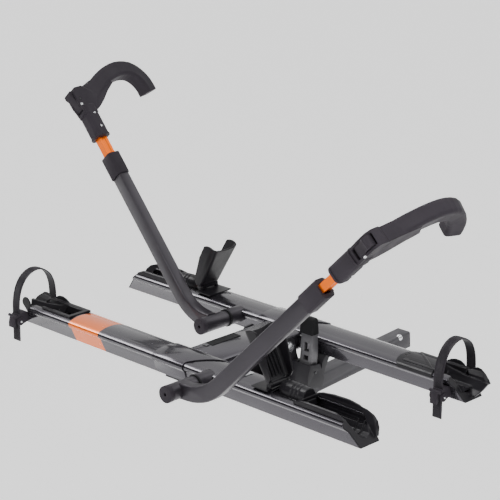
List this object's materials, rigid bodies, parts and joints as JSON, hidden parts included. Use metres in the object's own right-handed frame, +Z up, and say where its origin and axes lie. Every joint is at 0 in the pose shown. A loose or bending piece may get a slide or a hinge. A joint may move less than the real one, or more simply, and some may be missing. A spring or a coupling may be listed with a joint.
{
  "type": "hitch mounted bike rack",
  "caption": "Platform bike rack on a square hitch tongue: two trays on a tilting spine, each with a folding wheel chock, strap cradle and swinging arm with a sliding wheel hook.",
  "frame": {"origin": "centre of the hitch pin hole on the axis of the square tongue, 115 mm behind the tongue's end", "axes": "+X along the trays towards the end of the outer tray's wheel cup, +Y forwards into the vehicle's hitch, +Z up; the tongue points up by 3.9 degrees from +Y"},
  "size_m": [1.6478, 1.0855, 0.8485],
  "materials": {
    "black_powder_coat": "satin black powder coat on steel",
    "gunmetal_paint": "glossy gunmetal metallic paint on aluminium",
    "arm_anodise": "satin dark grey anodise",
    "orange_anodise": "orange anodise, grooved",
    "black_plastic": "satin black moulded plastic",
    "strap_plastic": "flexible black moulded strap with ladder teeth",
    "black_rubber": "matt black rubber",
    "zinc_steel": "bright zinc plated steel"
  },
  "bodies": {
    "stinger": {"hitch_tube": "black_powder_coat", "cam_ball": "zinc_steel", "pivot_bracket": "black_powder_coat", "pivot_bolt": "zinc_steel", "pivot_nut": "zinc_steel"},
    "rack_frame": {"spine_beam": "gunmetal_paint", "spine_inlay": "black_rubber", "lever_housing": "black_powder_coat", "lever_pin": "zinc_steel", "tray_lug": "zinc_steel", "tray_outer": "gunmetal_paint", "saddle_outer": "gunmetal_paint", "clamp_plate_outer": "black_powder_coat", "wheel_cup_outer": "black_plastic", "chock_plate_outer": "black_plastic", "chock_pin_outer": "zinc_steel", "cradle_outer": "black_plastic", "strap_outer": "strap_plastic", "buckle_outer": "black_plastic", "strap_anchor_outer": "black_plastic", "arm_boss_outer": "arm_anodise", "arm_ring_outer": "black_rubber", "arm_shaft_outer": "zinc_steel", "tray_inner": "gunmetal_paint", "saddle_inner": "gunmetal_paint", "clamp_plate_inner": "black_powder_coat", "wheel_cup_inner": "black_plastic", "chock_plate_inner": "black_plastic", "chock_pin_inner": "zinc_steel", "cradle_inner": "black_plastic", "strap_inner": "strap_plastic", "buckle_inner": "black_plastic", "strap_anchor_inner": "black_plastic", "arm_boss_inner": "arm_anodise", "arm_ring_inner": "black_rubber", "arm_shaft_inner": "zinc_steel"},
    "pivot_lever": {"tilt_lever": "black_powder_coat", "lever_pad": "black_rubber"},
    "chock_outer": {"chock_outer": "black_plastic"},
    "arm_outer": {"arm_barrel_outer": "arm_anodise", "arm_cap_outer": "black_plastic", "arm_tube_outer": "arm_anodise", "arm_collar_outer": "black_plastic"},
    "hook_outer": {"hook_rod_outer": "orange_anodise", "hook_head_outer": "black_plastic", "hook_pin_outer": "zinc_steel"},
    "trigger_outer": {"hook_trigger_outer": "black_plastic"},
    "buckle_latch_outer": {"buckle_lever_outer": "black_plastic"},
    "chock_inner": {"chock_inner": "black_plastic"},
    "arm_inner": {"arm_barrel_inner": "arm_anodise", "arm_cap_inner": "black_plastic", "arm_tube_inner": "arm_anodise", "arm_collar_inner": "black_plastic"},
    "hook_inner": {"hook_rod_inner": "orange_anodise", "hook_head_inner": "black_plastic", "hook_pin_inner": "zinc_steel"},
    "trigger_inner": {"hook_trigger_inner": "black_plastic"},
    "buckle_latch_inner": {"buckle_lever_inner": "black_plastic"}
  },
  "joints": [
    {"name": "rack_tilt", "type": "hinge", "parent": "stinger", "child": "rack_frame", "pos_m": [0, -0.471, 0.158], "axis": [1, 0, 0], "range_deg": [-30, 30]},
    {"name": "lever_pull", "type": "hinge", "parent": "rack_frame", "child": "pivot_lever", "pos_m": [0, -0.436, 0.092], "axis": [1, 0, 0], "range_deg": [0, 20], "stiffness_Nm_per_rad": 3, "springref_deg": -5.73},
    {"name": "chock_fold_outer", "type": "hinge", "parent": "rack_frame", "child": "chock_outer", "pos_m": [0.323, -0.767, 0.208], "axis": [0, -1, 0], "range_deg": [0, 50]},
    {"name": "chock_fold_inner", "type": "hinge", "parent": "rack_frame", "child": "chock_inner", "pos_m": [-0.353, -0.361, 0.208], "axis": [0, 1, 0], "range_deg": [0, 50]},
    {"name": "arm_swing_outer", "type": "hinge", "parent": "rack_frame", "child": "arm_outer", "pos_m": [0.115, -0.911, 0.172], "axis": [0, 1, 0], "range_deg": [-60, 40]},
    {"name": "arm_swing_inner", "type": "hinge", "parent": "rack_frame", "child": "arm_inner", "pos_m": [-0.182, -0.505, 0.172], "axis": [0, -1, 0], "range_deg": [-60, 40]},
    {"name": "hook_slide_outer", "type": "slide", "parent": "arm_outer", "child": "hook_outer", "axis": [0.7022, 0.0405, 0.7108], "range_m": [-0.045, 0.16]},
    {"name": "hook_slide_inner", "type": "slide", "parent": "arm_inner", "child": "hook_inner", "axis": [-0.6821, 0.0393, 0.7302], "range_m": [-0.045, 0.16]},
    {"name": "hook_release_outer", "type": "hinge", "parent": "hook_outer", "child": "trigger_outer", "pos_m": [0.71662, -0.89334, 0.68806], "axis": [-0.7097, -0.0409, 0.7033], "range_deg": [0, 9], "stiffness_Nm_per_rad": 0.3, "springref_deg": -8.59},
    {"name": "hook_release_inner", "type": "hinge", "parent": "hook_inner", "child": "trigger_inner", "pos_m": [-0.77104, -0.48806, 0.70685], "axis": [-0.729, 0.042, -0.6832], "range_deg": [0, 9], "stiffness_Nm_per_rad": 0.3, "springref_deg": -8.59},
    {"name": "buckle_release_outer", "type": "hinge", "parent": "rack_frame", "child": "buckle_latch_outer", "pos_m": [-0.647, -0.8535, 0.163], "axis": [-1, 0, 0], "range_deg": [0, 55], "stiffness_Nm_per_rad": 0.1, "springref_deg": -11.46},
    {"name": "buckle_release_inner", "type": "hinge", "parent": "rack_frame", "child": "buckle_latch_inner", "pos_m": [0.575, -0.4475, 0.163], "axis": [-1, 0, 0], "range_deg": [0, 55], "stiffness_Nm_per_rad": 0.1, "springref_deg": -11.46}
  ]
}
